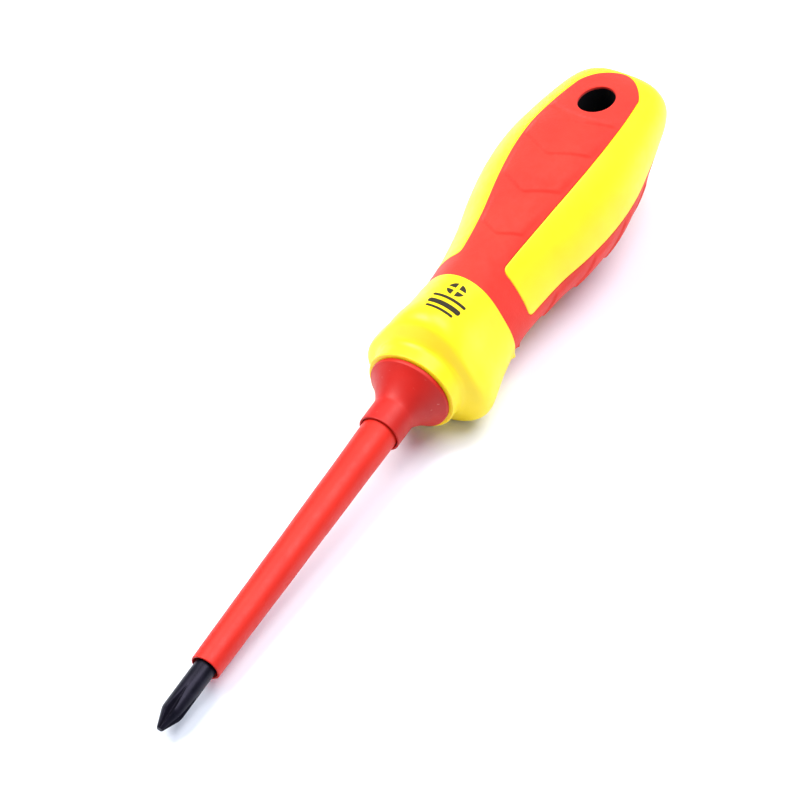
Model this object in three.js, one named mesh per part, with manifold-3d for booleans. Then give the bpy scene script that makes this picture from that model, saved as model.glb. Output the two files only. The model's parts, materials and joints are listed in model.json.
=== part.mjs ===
// Insulated screwdriver: a cross-slot blade in a red tube, and a three-lobed handle.
//
// Millimetres, +Z up. A station is a distance back from the tip along the tool's axis.
// Each piece is first made about +Y, with Y as its station and +Z through the top petal.
// The finished tool is then laid down on its belly and guard, with the tip towards +X.

import * as THREE from 'three';
import { mergeVertices } from 'three/addons/utils/BufferGeometryUtils.js';
import Module from 'manifold-3d';

const wasm = await Module();
wasm.setup();

// Whole tool
const overallLength = 207.6;
const restDip = 4.8; // degrees that the axis dips towards the tip as the tool lies
const gap = 0.3; // between pieces that touch

// Blade
const shankRadius = 2.4;
const tailEnd = 164;
const tipEndRadius = 0.7;
const tipCrestStation = 4.2; // where the tip's cone reaches the full shank
const fluteRunOut = 11.5;
const fluteRoot = 0.5; // radius of the core between the flutes, at the tip
const fluteDepth = 5; // of the wedge that cuts a flute, well past the shank
const fluteSteepness = 1.08; // slightly over one, so that the wings taper
const wingStations = [142, 153]; // forged wings that key the tail into the core
const wingSpan = 8.4;
const wingThickness = 1.8;

// Sleeve
const sleeveFront = 16.7;
const sleeveRear = 124;
const sleeveFrontRadius = 3.4;
const sleeveRadius = 4.25;
const sleeveTaperEnd = 86;

// Nose cone
const collarFront = 86.3;
const collarRear = 92.6;
const collarRadius = 5.0;
const coneRimStation = 100.2;
const coneRimRadius = 9.8;
const spigotRear = 107;
const spigotRadius = 7.2;

// Handle
const noseRingRadius = 10.8;
const noseRingEnd = 104.4;
const guardRear = 124.4;
const bandRear = 132.3;
const coreRear = 203;
const coreEndRadius = 5;
const coreTaper = 4; // length over which the core's end closes in
const shellThickness = 3.2;
const lobes = 3;
const buttFlatRadius = 6;
const aroundHandle = 42;
const profileSamples = 26; // along the handle's whole profile
const sampleMargin = 0.4; // least distance of a sample from a piece's end
const wellOutside = 30; // radius or height that clears the handle's skin

// Hanging hole, an oval that is longer along the handle
const holeStation = 189;
const holeHalfWidth = 4.15;
const holeHalfLength = 5.6;
const holeBarLength = 60; // longer than the handle is thick

// Printed mark on the guard
const inkThickness = 0.15;
const inkClearance = 0.12;
const inkArea = [109, 124]; // stations between which the guard is smooth enough to print on
const inkCutHeight = 20; // of the upright shapes that cut the marks out of a film
const discStation = 120;
const discRadius = 2.1;
const discCross = 0.7; // width of the plain cross left out of the disc
const discCrossSpan = 3.8;
const bars = [
  { station: 117, length: 8.4, width: 0.7 },
  { station: 114.6, length: 8.2, width: 1.3 },
  { station: 112.4, length: 6.8, width: 0.7 },
];

const colours = {
  steel: 0x16141c,
  red: 0xe03a28,
  darkRed: 0xd03020,
  yellow: 0xf4ee22,
  core: 0x2c2c30,
  ink: 0x161410,
};

// Mean radius of the handle at a station, as a smooth curve through [station, radius].
const handleProfile = [
  [104.9, 11.4],
  [105.4, 13.1],
  [106.4, 14.4],
  [108.4, 14.9],
  [111, 14.75],
  [116, 13.75],
  [122, 12.85],
  [128, 12.4],
  [135, 12.7],
  [145, 14.1],
  [155, 16.4],
  [165, 17.8],
  [175, 17.75],
  [185, 16.15],
  [194, 14.2],
  [200.5, 12.5],
  [204.8, 10.3],
  [207, 7],
];

// How far the three lobes stand out of the mean radius, as [station, height].
const lobeHeights = [
  [104.4, 0],
  [107, 2.0],
  [113, 1.8],
  [125, 1.1],
  [150, 0.5],
  [165, 0.1],
  [178, -0.4],
  [188, -1.0],
  [196, -1.4],
  [204, -1.5],
  [207, -0.5],
];

// Half-width of a petal seen from straight above it, as [station, half-width].
const petalEdge = [
  [134.1, 5.65],
  [138, 5.95],
  [142, 6.37],
  [146, 6.87],
  [150, 7.48],
  [155, 8.25],
  [160, 8.88],
  [165, 9.37],
  [170, 9.63],
  [175, 9.7],
  [180, 9.5],
  [185, 9.2],
  [190, 8.7],
  [195, 8.1],
];
const petalTop = 204.3;
const petalShoulder = { width: 0.6, length: 2.5 }; // how the sides turn in towards the end
const petalCrown = { width: 3.2, length: 0.4 }; // how the end rounds over to the middle
const petalCorner = 1.6; // radius where a petal runs out into the band

function interpolate(table, station) {
  for (let i = 1; i < table.length; i += 1) {
    if (station <= table[i][0]) {
      const [from, low] = table[i - 1];
      const [to, high] = table[i];
      return THREE.MathUtils.clamp(
        THREE.MathUtils.mapLinear(station, from, to, low, high),
        Math.min(low, high),
        Math.max(low, high),
      );
    }
  }
  return table.at(-1)[1];
}

function material(colour, roughness, metalness = 0) {
  return new THREE.MeshStandardMaterial({ color: colour, roughness, metalness });
}

// Solids: closed three.js geometries and the joins and cuts between them.

function solid(geometry) {
  const bare = geometry.clone();
  bare.deleteAttribute('normal');
  bare.deleteAttribute('uv');
  const merged = mergeVertices(bare, 1e-4);
  const mesh = new wasm.Mesh({
    numProp: 3,
    vertProperties: new Float32Array(merged.attributes.position.array),
    triVerts: new Uint32Array(merged.index.array),
  });
  return new wasm.Manifold(mesh);
}

function geometryOf(body) {
  const mesh = body.getMesh();
  const geometry = new THREE.BufferGeometry();
  geometry.setAttribute('position', new THREE.BufferAttribute(mesh.vertProperties, 3));
  geometry.setIndex(new THREE.BufferAttribute(mesh.triVerts, 1));
  geometry.computeVertexNormals();
  return geometry;
}

function revolve(points, segments) {
  const profile = points.map(([station, radius]) => new THREE.Vector2(radius, station));
  return new THREE.LatheGeometry(profile, segments);
}

// A solid of revolution whose radius then swells into the handle's three lobes.
function revolveLobed(points, segments) {
  const geometry = revolve(points, segments);
  const position = geometry.attributes.position;
  for (let i = 0; i < position.count; i += 1) {
    const x = position.getX(i);
    const z = position.getZ(i);
    const radius = Math.hypot(x, z);
    if (radius > sleeveRadius) {
      const height = interpolate(lobeHeights, position.getY(i));
      const swell = 1 + (height * Math.cos(lobes * Math.atan2(x, z))) / radius;
      position.setX(i, x * swell);
      position.setZ(i, z * swell);
    }
  }
  return geometry;
}

// The handle's outer profile between two stations, moved inwards by an inset.
function outerProfile(from, to, inset) {
  const curve = new THREE.SplineCurve(handleProfile.map(([s, r]) => new THREE.Vector2(s, r)));
  const samples = curve.getSpacedPoints(profileSamples);
  const inside = samples
    .filter((point) => point.x > from + sampleMargin && point.x < to - sampleMargin);
  const radiusAt = (station) => interpolate(samples.map((point) => [point.x, point.y]), station);
  return [
    [from, radiusAt(from) - inset],
    ...inside.map((point) => [point.x, point.y - inset]),
    [to, radiusAt(to) - inset],
  ];
}

function closedOnAxis(points) {
  return [[points[0][0], 0], ...points, [points.at(-1)[0], 0]];
}

function cylinder(radius, from, to, segments = 24) {
  return solid(revolve(closedOnAxis([[from, radius], [to, radius]]), segments));
}

// An oval bar along Z through the hanging hole's place.
function holeBar() {
  const bar = new THREE.CylinderGeometry(holeHalfWidth, holeHalfWidth, holeBarLength, 28);
  bar.rotateX(Math.PI / 2);
  bar.scale(1, holeHalfLength / holeHalfWidth, 1);
  bar.translate(0, holeStation, 0);
  return solid(bar);
}

// Blade: shank with a cone at the tip, four flutes and a winged tail.

// A wedge whose edge climbs from the root at the tip to the shank's surface.
function flute() {
  const length = fluteRunOut * 2;
  const outline = new THREE.Shape();
  outline.moveTo(0, 0);
  outline.lineTo(fluteDepth, fluteDepth * fluteSteepness);
  outline.lineTo(-fluteDepth, fluteDepth * fluteSteepness);
  outline.closePath();
  const geometry = new THREE.ExtrudeGeometry(outline, { depth: length, bevelEnabled: false });
  geometry.translate(0, 0, -length / 2);
  geometry.rotateX(Math.PI / 2 + Math.atan2(shankRadius - fluteRoot, fluteRunOut));
  geometry.translate(0, 0, fluteRoot);
  return geometry;
}

function makeBlade() {
  const shank = solid(revolve(closedOnAxis([
    [0, tipEndRadius],
    [tipCrestStation - 0.5, shankRadius - 0.25],
    [tipCrestStation + 0.2, shankRadius],
    [tailEnd - 0.6, shankRadius],
    [tailEnd, shankRadius - 0.6],
  ]), 32));
  const [wingFront, wingRear] = wingStations;
  const wings = new THREE.BoxGeometry(wingSpan, wingRear - wingFront, wingThickness);
  wings.translate(0, (wingFront + wingRear) / 2, 0);
  let blade = shank.add(solid(wings));
  for (let side = 0; side < 4; side += 1) {
    const cutter = flute();
    cutter.rotateY((side * Math.PI) / 2);
    blade = blade.subtract(solid(cutter));
  }
  return geometryOf(blade);
}

// Sleeve: slightly tapered tube with a softened front edge.

function makeSleeve() {
  return revolve([
    [sleeveFront, shankRadius + gap],
    [sleeveFront, sleeveFrontRadius - 0.25],
    [sleeveFront + 0.25, sleeveFrontRadius],
    [sleeveTaperEnd, sleeveRadius],
    [sleeveRear, sleeveRadius],
    [sleeveRear, shankRadius + gap],
    [sleeveFront, shankRadius + gap],
  ], 32);
}

// Nose cone: collar, flared cone with a thin rim, and a spigot that plugs into the guard.

function makeNoseCone() {
  const flare = new THREE.CubicBezierCurve(
    new THREE.Vector2(collarRear, collarRadius),
    new THREE.Vector2(collarRear + 2.6, collarRadius + 0.1),
    new THREE.Vector2(coneRimStation - 2.4, coneRimRadius - 1.9),
    new THREE.Vector2(coneRimStation - 0.9, coneRimRadius),
  );
  return revolve([
    [collarFront, sleeveRadius + gap],
    [collarFront, collarRadius - 0.2],
    [collarFront + 0.2, collarRadius],
    ...flare.getPoints(8).map((point) => [point.x, point.y]),
    [coneRimStation, coneRimRadius],
    [coneRimStation, spigotRadius],
    [spigotRear, spigotRadius],
    [spigotRear, sleeveRadius + gap],
    [collarFront, sleeveRadius + gap],
  ], 36);
}

// Handle core: hard inner body round the sleeve's end, the blade's tail and the hanging hole.

function coreBody(growth) {
  const points = outerProfile(guardRear + gap - growth, coreRear - coreTaper, shellThickness - growth)
    .filter((point, i, all) => i % 2 === 0 || i === all.length - 1);
  return solid(revolve(closedOnAxis([
    [spigotRear + gap - growth, spigotRadius + growth],
    [guardRear + gap - growth, spigotRadius + growth],
    ...points,
    [coreRear + growth, coreEndRadius],
  ]), 28));
}

function makeCore() {
  const [wingFront, wingRear] = wingStations;
  const wingSlot = new THREE.BoxGeometry(
    wingSpan + gap * 2,
    wingRear - wingFront + gap * 2,
    wingThickness + gap * 2,
  );
  wingSlot.translate(0, (wingFront + wingRear) / 2, 0);
  return geometryOf(coreBody(0)
    .subtract(cylinder(sleeveRadius + gap, spigotRear - 1, sleeveRear + gap))
    .subtract(cylinder(shankRadius + gap, sleeveRear, tailEnd + gap))
    .subtract(solid(wingSlot))
    .subtract(holeBar()));
}

// Guard: nose ring, cove and three-lobed finger guard, hollow for the cone's spigot and the core.

function makeGuard() {
  const front = coneRimStation + gap;
  const skin = solid(revolveLobed(closedOnAxis([
    [front, noseRingRadius - 0.3],
    [front + 0.3, noseRingRadius],
    [noseRingEnd - 0.7, noseRingRadius],
    ...outerProfile(handleProfile[0][0], guardRear, 0),
  ]), aroundHandle));
  return geometryOf(skin.subtract(cylinder(spigotRadius + gap, front - 1, guardRear + 1, 36)));
}

// Petals: the grip's three raised areas, as straight prisms seen from above each one.

function petalOutline(clearance) {
  const outline = new THREE.Shape();
  const sideAt = (sign) => petalEdge.map(([s, w]) => new THREE.Vector2(sign * (w + clearance), s));
  const right = sideAt(1);
  const left = sideAt(-1).reverse();
  const flareStation = bandRear + clearance;
  const flare = petalEdge[0][1] + clearance + petalCorner;
  const end = petalTop + clearance;
  outline.moveTo(-flare, guardRear + 3);
  outline.lineTo(flare, guardRear + 3);
  outline.lineTo(flare, flareStation);
  outline.quadraticCurveTo(right[0].x, flareStation, right[0].x, right[0].y);
  outline.splineThru(right.slice(1));
  const shoulder = right.at(-1).clone();
  shoulder.x -= petalShoulder.width;
  shoulder.y += petalShoulder.length;
  const crown = new THREE.Vector2(petalCrown.width, end - petalCrown.length);
  outline.bezierCurveTo(shoulder.x, shoulder.y, crown.x, crown.y, 0, end);
  outline.bezierCurveTo(-crown.x, crown.y, -shoulder.x, shoulder.y, left[0].x, left[0].y);
  outline.splineThru(left.slice(1));
  outline.quadraticCurveTo(left.at(-1).x, flareStation, -flare, flareStation);
  outline.closePath();
  return outline;
}

function petals(clearance) {
  const outline = petalOutline(clearance);
  let joined = null;
  for (let lobe = 0; lobe < lobes; lobe += 1) {
    const prism = new THREE.ExtrudeGeometry(outline, {
      depth: wellOutside,
      bevelEnabled: false,
      curveSegments: 2,
    });
    prism.rotateY((lobe * 2 * Math.PI) / lobes);
    joined = joined ? joined.add(solid(prism)) : solid(prism);
  }
  return joined;
}

// Everything behind the guard, out to the handle's skin and back to the flat of the butt.
function rearSkin(from) {
  const skin = outerProfile(from, handleProfile.at(-1)[0], 0);
  const butt = [overallLength, buttFlatRadius];
  return solid(revolveLobed(closedOnAxis([...skin, butt]), aroundHandle));
}

// Grip: band round the neck and three petals, the top one with the hanging hole through it.

function makeGrip() {
  const band = cylinder(wellOutside, guardRear, bandRear);
  return geometryOf(rearSkin(guardRear + gap)
    .intersect(band.add(petals(0)))
    .subtract(coreBody(gap))
    .subtract(holeBar()));
}

// Rear shell: three panels between the petals, joined at the butt.

function makeRearShell() {
  return geometryOf(rearSkin(bandRear + gap)
    .subtract(petals(gap))
    .subtract(coreBody(gap))
    .subtract(holeBar()));
}

// Printed mark: a disc with a plain cross in it and three plain bars, as films along the guard.

function inkSkin(height) {
  return solid(revolveLobed(closedOnAxis(outerProfile(...inkArea, -height)), aroundHandle));
}

const inkFilm = inkSkin(inkClearance + inkThickness).subtract(inkSkin(inkClearance));

function inkPlate(width, length, station) {
  const plate = new THREE.BoxGeometry(width, length, inkCutHeight);
  plate.translate(0, station, inkCutHeight);
  return solid(plate);
}

function makeDiscMark() {
  const disc = new THREE.CylinderGeometry(discRadius, discRadius, inkCutHeight, 24);
  disc.rotateX(Math.PI / 2);
  disc.translate(0, discStation, inkCutHeight);
  const cross = inkPlate(discCross, discCrossSpan, discStation)
    .add(inkPlate(discCrossSpan, discCross, discStation));
  return geometryOf(inkFilm.intersect(solid(disc).subtract(cross)));
}

function makeBarMark({ station, length, width }) {
  return geometryOf(inkFilm.intersect(inkPlate(length, width, station)));
}

// The assembly

const steel = material(colours.steel, 0.35, 0.8);
const sleeveRed = material(colours.red, 0.6);
const coneRed = material(colours.darkRed, 0.5);
const gripRed = material(colours.red, 0.75);
const guardYellow = material(colours.yellow, 0.4);
const shellYellow = material(colours.yellow, 0.4);
const corePlastic = material(colours.core, 0.6);
const ink = material(colours.ink, 0.8);

const pieces = [
  ['blade', makeBlade(), steel],
  ['blade_sleeve', makeSleeve(), sleeveRed],
  ['nose_cone', makeNoseCone(), coneRed],
  ['handle_core', makeCore(), corePlastic],
  ['guard', makeGuard(), guardYellow],
  ['rear_shell', makeRearShell(), shellYellow],
  ['grip', makeGrip(), gripRed],
  ['mark_disc', makeDiscMark(), ink],
  ...bars.map((bar, i) => [`mark_bar_${i + 1}`, makeBarMark(bar), ink]),
];

const alongAxis = new THREE.Group();
for (const [name, geometry, finish] of pieces) {
  const piece = new THREE.Mesh(geometry, finish);
  piece.name = name;
  alongAxis.add(piece);
}
alongAxis.rotation.z = Math.PI / 2;

const laid = new THREE.Group();
laid.add(alongAxis);
laid.rotation.y = THREE.MathUtils.degToRad(restDip);

// The origin is under the middle of the tool, on the surface that it lies on.
const box = new THREE.Box3().setFromObject(laid, true);
const middle = box.getCenter(new THREE.Vector3());
laid.position.set(-middle.x, -middle.y, -box.min.z);

const screwdriver = new THREE.Group();
screwdriver.add(laid);

export default screwdriver;
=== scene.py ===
import json
import math

import bmesh
import bpy
import numpy as np
from mathutils import Matrix, Vector


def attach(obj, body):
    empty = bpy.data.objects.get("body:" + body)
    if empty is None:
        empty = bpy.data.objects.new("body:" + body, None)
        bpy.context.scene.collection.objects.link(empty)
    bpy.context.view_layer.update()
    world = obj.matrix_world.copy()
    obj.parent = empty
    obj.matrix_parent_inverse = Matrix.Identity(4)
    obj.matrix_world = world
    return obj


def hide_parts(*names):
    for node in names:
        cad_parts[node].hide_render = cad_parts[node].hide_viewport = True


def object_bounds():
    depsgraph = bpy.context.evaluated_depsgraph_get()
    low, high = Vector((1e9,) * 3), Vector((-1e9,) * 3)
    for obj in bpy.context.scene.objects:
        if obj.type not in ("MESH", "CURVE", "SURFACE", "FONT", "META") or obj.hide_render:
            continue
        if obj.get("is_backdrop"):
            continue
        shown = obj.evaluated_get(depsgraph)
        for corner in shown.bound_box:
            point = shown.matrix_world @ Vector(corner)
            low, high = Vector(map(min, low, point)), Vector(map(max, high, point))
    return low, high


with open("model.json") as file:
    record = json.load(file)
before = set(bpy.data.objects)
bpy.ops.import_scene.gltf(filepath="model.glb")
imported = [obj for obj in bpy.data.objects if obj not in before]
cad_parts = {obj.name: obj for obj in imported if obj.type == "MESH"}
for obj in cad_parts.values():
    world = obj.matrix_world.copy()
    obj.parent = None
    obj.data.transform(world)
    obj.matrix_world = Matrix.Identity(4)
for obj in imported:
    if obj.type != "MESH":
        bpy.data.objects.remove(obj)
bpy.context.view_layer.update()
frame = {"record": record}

# An insulated screwdriver, built as high-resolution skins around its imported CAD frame.
#
# Shapes are worked out in millimetres, round the tool's own axis: a station is a distance back
# from the tip, an angle is measured from the top petal, and a radius is from the axis.
# place() turns those into the frame's metres.

MM = 0.001

# Where the tool lies, from the record
MOUNTS = {mount["name"]: mount for mount in frame["record"]["mounts"]}
TIP = np.array(MOUNTS["blade_tip"]["pos_m"])
FORWARD = np.array(MOUNTS["blade_tip"]["axis"])
UP = np.array([-FORWARD[2], 0.0, FORWARD[0]])
SIDE = np.array([0.0, 1.0, 0.0])

# Blade
SHANK_RADIUS = 2.4
TAIL_END = 164.0
TIP_PROFILE = [(0.0, 0.62), (0.12, 0.74), (3.7, 2.14), (4.2, 2.31), (4.7, 2.385), (5.4, 2.4)]
FLUTE_ROOT = 0.5  # radius of the core between the flutes, at the tip
FLUTE_RUN_OUT = 11.5
FLUTE_STEEPNESS = 1.08
FLUTE_TURN = math.radians(3)
FLUTE_EDGE = 0.06  # how softly a flute meets the shank
TAIL_WINGS = (142.0, 153.0)
TAIL_WING_SPAN = 4.2  # from the axis to a wing's tip
TAIL_WING_HALF_THICKNESS = 0.9
TAIL_END_CHAMFER = 0.6
FLUTE_FADE_END = FLUTE_RUN_OUT + 2.5  # the shank is a plain bar behind this

# Sleeve
SLEEVE_FRONT = 16.7
SLEEVE_REAR = 124.0
SLEEVE_FRONT_RADIUS = 3.4
SLEEVE_RADIUS = 4.25
SLEEVE_TAPER_END = 86.0
SLEEVE_BORE = 2.55
SLEEVE_MOUTH_BORE = 2.95
SLEEVE_MOUTH_DEPTH = 1.6
SLEEVE_UNEVENNESS = 0.014

# Nose cone
COLLAR_FRONT = 86.3
COLLAR_REAR = 92.6
COLLAR_RADIUS = 5.0
CONE_RIM_STATION = 100.2
CONE_RIM_RADIUS = 9.8
CONE_BORE = 4.42
SPIGOT_REAR = 107.0
SPIGOT_RADIUS = 7.2

# Handle
NOSE_RING_RADIUS = 10.8
GUARD_FRONT = 100.3
GUARD_REAR = 124.4
GUARD_BORE = 7.4
NECK_RADIUS = 12.6
NUB_ANGLE = math.radians(114)  # of the small moulding nubs on both sides of the neck
GUARD_NUB = {"station": GUARD_REAR, "height": 0.6, "length": 0.7, "width": 0.8}
BAND_NUB = {"station": GUARD_REAR + 3, "height": 0.45, "length": 0.5, "width": 0.5}
GUARD_PROUD = 0.28  # of the guard's rear edge over the red band
GUARD_RISE_START = 117
GUARD_RISE_LENGTH = 7
BAND_REAR = 132.3
BUTT_STATION = 207.6
BUTT_SHOULDER = (207, 7.0)  # station and radius where the skin turns over the butt
BUTT_FLAT_RADIUS = 6.05
BUTT_DISH_RADIUS = 4.5
BUTT_DISH_DEPTH = 0.25
SKIN_THICKNESS = 2.9
DOME_START = 200.0  # where the skins' inner faces start to close over the core
DOME_DEPTH = 4.6
CORE_INSET = 3.2
CORE_REAR = 203
CORE_END_RADIUS = 5
CORE_CLEARANCE = 0.3
SEAM = 0.05  # gap between the red and yellow mouldings
LIP = 0.26  # radius of the softened edges along that gap
LOBES = 3

# Mean radius of the handle, as (station, radius), and how far its lobes stand out of it
HANDLE_PROFILE = [
    (104.9, 11.4), (105.4, 13.1), (106.4, 14.4), (108.4, 14.9), (111, 14.75), (116, 13.75),
    (122, 12.85), (128, 12.4), (135, 12.7), (145, 14.1), (155, 16.4), (165, 17.8),
    (175, 17.75), (185, 16.15), (194, 14.2), (200.5, 12.5), (204.8, 10.3), (207, 7),
]
LOBE_HEIGHTS = [
    (104.4, 0), (107, 2.0), (113, 1.8), (125, 1.1), (150, 0.5), (165, 0.1), (178, -0.4),
    (188, -1.0), (196, -1.4), (204, -1.5), (207, -0.5), (207.6, 0),
]

# Half-width of a petal seen from straight above it, as (station, half-width)
PETAL_EDGE = [
    (134.1, 5.65), (138, 5.95), (142, 6.37), (146, 6.87), (150, 7.48), (155, 8.25),
    (160, 8.88), (165, 9.37), (170, 9.63), (175, 9.7), (180, 9.5), (185, 9.2), (190, 8.7),
    (195, 8.1),
]
PETAL_TOP = 204.3
PETAL_SHOULDER = (2.5, 0.6)  # how the sides turn in towards the end: along, across
PETAL_CROWN = (0.4, 3.2)  # how the end rounds over to the middle: along, across
PETAL_CORNER = 1.6

# Raised chevrons on the petals
CHEVRON_STATIONS = (139.5, 152.0, 164.0, 176.5)
CHEVRON_SWEEP = 0.64
CHEVRON_HEIGHT = 0.42
CHEVRON_RAMP = 0.7
CHEVRON_DECAY = 10.5
CHEVRON_APEX = 0.5  # how softly its two arms meet
CHEVRON_MARGIN = 0.7  # from the petal's edge, before it starts to rise
CHEVRON_FADE = 1.6

# Hanging hole
HOLE_STATION = 189.0
HOLE_HALF_WIDTH = 3.9
HOLE_HALF_LENGTH = 6.5
HOLE_MOUTH = 0.4
HOLE_REAR_MOUTH = 0.4
HOLE_MARGIN = 1.5  # of plain skin round the hole, before the chevrons start
HOLE_MARGIN_FADE = 2.5
HOLE_RED_DEPTH = 0.8  # of the soft skin seen inside the mouth, over the dark liner of painted shade
LINER_WALL = 1.3
LINER_CLEARANCE = 0.02
HOLE_AROUND = 96

# Printed mark
INK_LIFT = 0.02
INK_THICKNESS = 0.05
DISC = {"station": 119.9, "angle": 3.5, "radius": 2.15, "cross": 0.42}
BARS = [
    {"station": 116.4, "angle": 4.5, "length": 8.4, "width": 0.9},
    {"station": 113.9, "angle": 4.5, "length": 8.2, "width": 1.6},
    {"station": 111.8, "angle": 4.0, "length": 6.8, "width": 0.8},
]

AROUND = 192  # segments round the turned pieces
EDGE_BUNCH = np.array([0, 0.05, 0.11, 0.18, 0.27, 0.4, 0.65])  # rows in from a softened edge
SECTOR = 2 * math.pi / LOBES

# Light
WORLD_STRENGTH = 0.48
KEY_POWER = 12.0
TOP_POWER = 8.5


# ---------------------------------------------------------------- curves and fields

def catmull_rom(points, step=0.05):
    """Dense points of the smooth curve through the given ones."""
    points = np.array(points, float)
    padded = np.vstack([2 * points[0] - points[1], points, 2 * points[-1] - points[-2]])
    dense = []
    for i in range(1, len(padded) - 2):
        count = max(2, int(np.linalg.norm(padded[i + 1] - padded[i]) / step))
        t = np.linspace(0, 1, count, endpoint=False)[:, None]
        a, b, c, d = padded[i - 1], padded[i], padded[i + 1], padded[i + 2]
        dense.append(0.5 * (2 * b + (c - a) * t + (2 * a - 5 * b + 4 * c - d) * t ** 2
                            + (3 * b - a - 3 * c + d) * t ** 3))
    return np.vstack(dense + [points[-1:]])


def bell_smoothed(values, width_in_steps):
    """The values smoothed by a bell curve, with their ends kept in place."""
    reach = int(3 * width_in_steps) + 1
    bell = np.exp(-0.5 * (np.arange(-reach, reach + 1) / width_in_steps) ** 2)
    padded = np.pad(values, reach, mode="reflect", reflect_type="odd")
    return np.convolve(padded, bell / bell.sum(), mode="valid")


def even_table(points, step, width):
    """A table at even steps through the points, smoothed over the given width."""
    dense = np.array(points, float)
    stations = np.arange(dense[0, 0], dense[-1, 0] + step / 2, step)
    values = np.interp(stations, dense[:, 0], dense[:, 1])
    return stations, bell_smoothed(values, width / step)


def smoothstep(x):
    x = np.clip(x, 0, 1)
    return x * x * (3 - 2 * x)


def resampled(points, spacing):
    """A path with its points spread evenly, no further apart than the spacing."""
    points = np.array(points, float)
    run = np.concatenate([[0], np.cumsum(np.linalg.norm(np.diff(points, axis=0), axis=1))])
    even = np.linspace(0, run[-1], max(2, int(math.ceil(run[-1] / spacing)) + 1))
    return np.column_stack([np.interp(even, run, column) for column in points.T])


def rounded_path(corners, spacing=0.4):
    """A path through (station, radius, corner radius), with each corner rounded off."""
    points = []
    for i, (station, radius, fillet) in enumerate(corners):
        here = np.array([station, radius], float)
        if fillet == 0 or i in (0, len(corners) - 1):
            points.append(here)
            continue
        before = np.array(corners[i - 1][:2], float) - here
        after = np.array(corners[i + 1][:2], float) - here
        room_before, room_after = np.linalg.norm(before), np.linalg.norm(after)
        before, after = before / room_before, after / room_after
        opening = math.acos(np.clip(before @ after, -1, 1))
        setback = fillet / math.tan(opening / 2)
        start = here + before * min(setback, 0.49 * room_before)
        end = here + after * min(setback, 0.49 * room_after)
        for t in np.linspace(0, 1, 9):
            points.append((1 - t) ** 2 * start + 2 * t * (1 - t) * here + t ** 2 * end)
    dense = [points[0]]
    for before, after in zip(points, points[1:]):
        pieces = max(1, int(np.linalg.norm(after - before) / spacing))
        dense += [before + (after - before) * t for t in np.linspace(0, 1, pieces + 1)[1:]]
    return np.array(dense)


PROFILE_STATIONS, PROFILE_RADII = even_table(catmull_rom(HANDLE_PROFILE), 0.05, 0.5)
LOBE_STATIONS, LOBE_SWELLS = even_table(LOBE_HEIGHTS, 0.1, 1.5)


def mean_radius(station):
    """The handle's radius at a station, averaged all round."""
    return np.interp(station, PROFILE_STATIONS, PROFILE_RADII)


def lobe_height(station):
    """How far the lobes stand out of the mean radius; under nought, the petals lie lower."""
    return np.interp(station, LOBE_STATIONS, LOBE_SWELLS)


def handle_radius(station, angle):
    return mean_radius(station) + lobe_height(station) * np.cos(LOBES * angle)


def from_petal(angle):
    """The angle from the middle of the nearest petal."""
    return np.mod(angle + SECTOR / 2, SECTOR) - SECTOR / 2


def place(station, angle, radius):
    """Points in the frame's metres, from arrays of stations, angles and radii."""
    station, angle, radius = np.broadcast_arrays(station, angle, radius)
    around = np.cos(angle)[..., None] * UP + np.sin(angle)[..., None] * SIDE
    return TIP + MM * (radius[..., None] * around - station[..., None] * FORWARD)


def place_beside(across, station, height):
    """Points in the frame's metres, from sideways distance, station and height over the axis."""
    across, station, height = np.broadcast_arrays(across, station, height)
    offset = across[..., None] * SIDE + height[..., None] * UP - station[..., None] * FORWARD
    return TIP + MM * offset


# ---------------------------------------------------------------- meshes

def grid_faces(rows, columns, wrap_rows=False, wrap_columns=False, first=0):
    """The quads of a grid of points stored row by row."""
    faces = []
    for i in range(rows if wrap_rows else rows - 1):
        for j in range(columns if wrap_columns else columns - 1):
            below, right = (i + 1) % rows, (j + 1) % columns
            faces.append((first + i * columns + j, first + i * columns + right,
                          first + below * columns + right, first + below * columns + j))
    return faces


def make_piece(name, points, faces, sharp_angle=35):
    """A mesh object of metre points, welded, facing outwards and shaded smooth."""
    mesh = bpy.data.meshes.new(name)
    mesh.from_pydata(points.reshape(-1, 3).tolist(), [], faces)
    shape = bmesh.new()
    shape.from_mesh(mesh)
    bmesh.ops.remove_doubles(shape, verts=shape.verts, dist=2e-7)
    bmesh.ops.dissolve_degenerate(shape, edges=shape.edges, dist=1e-7)
    bmesh.ops.recalc_face_normals(shape, faces=shape.faces)
    shape.to_mesh(mesh)
    shape.free()
    piece = bpy.data.objects.new(name, mesh)
    bpy.context.scene.collection.objects.link(piece)
    shade(piece, sharp_angle)
    return piece


def shade(piece, sharp_angle):
    """Smooth shading, apart from edges sharper than the angle in degrees."""
    piece.data.shade_smooth()
    piece.data.set_sharp_from_angle(angle=math.radians(sharp_angle))


def turned(name, loop, relief=None, around=AROUND, sharp_angle=35):
    """A closed ring section (stations, radii) turned about the axis, with an optional relief."""
    loop = np.array(loop)
    angles = np.arange(around) * 2 * math.pi / around
    stations = np.repeat(loop[:, :1], around, axis=1)
    radii = np.repeat(loop[:, 1:2], around, axis=1)
    angles = np.repeat(angles[None], len(loop), axis=0)
    if relief is not None:
        radii = radii + relief(stations, angles, radii)
    faces = grid_faces(len(loop), around, wrap_rows=True, wrap_columns=True)
    return make_piece(name, place(stations, angles, radii), faces, sharp_angle)


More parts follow.
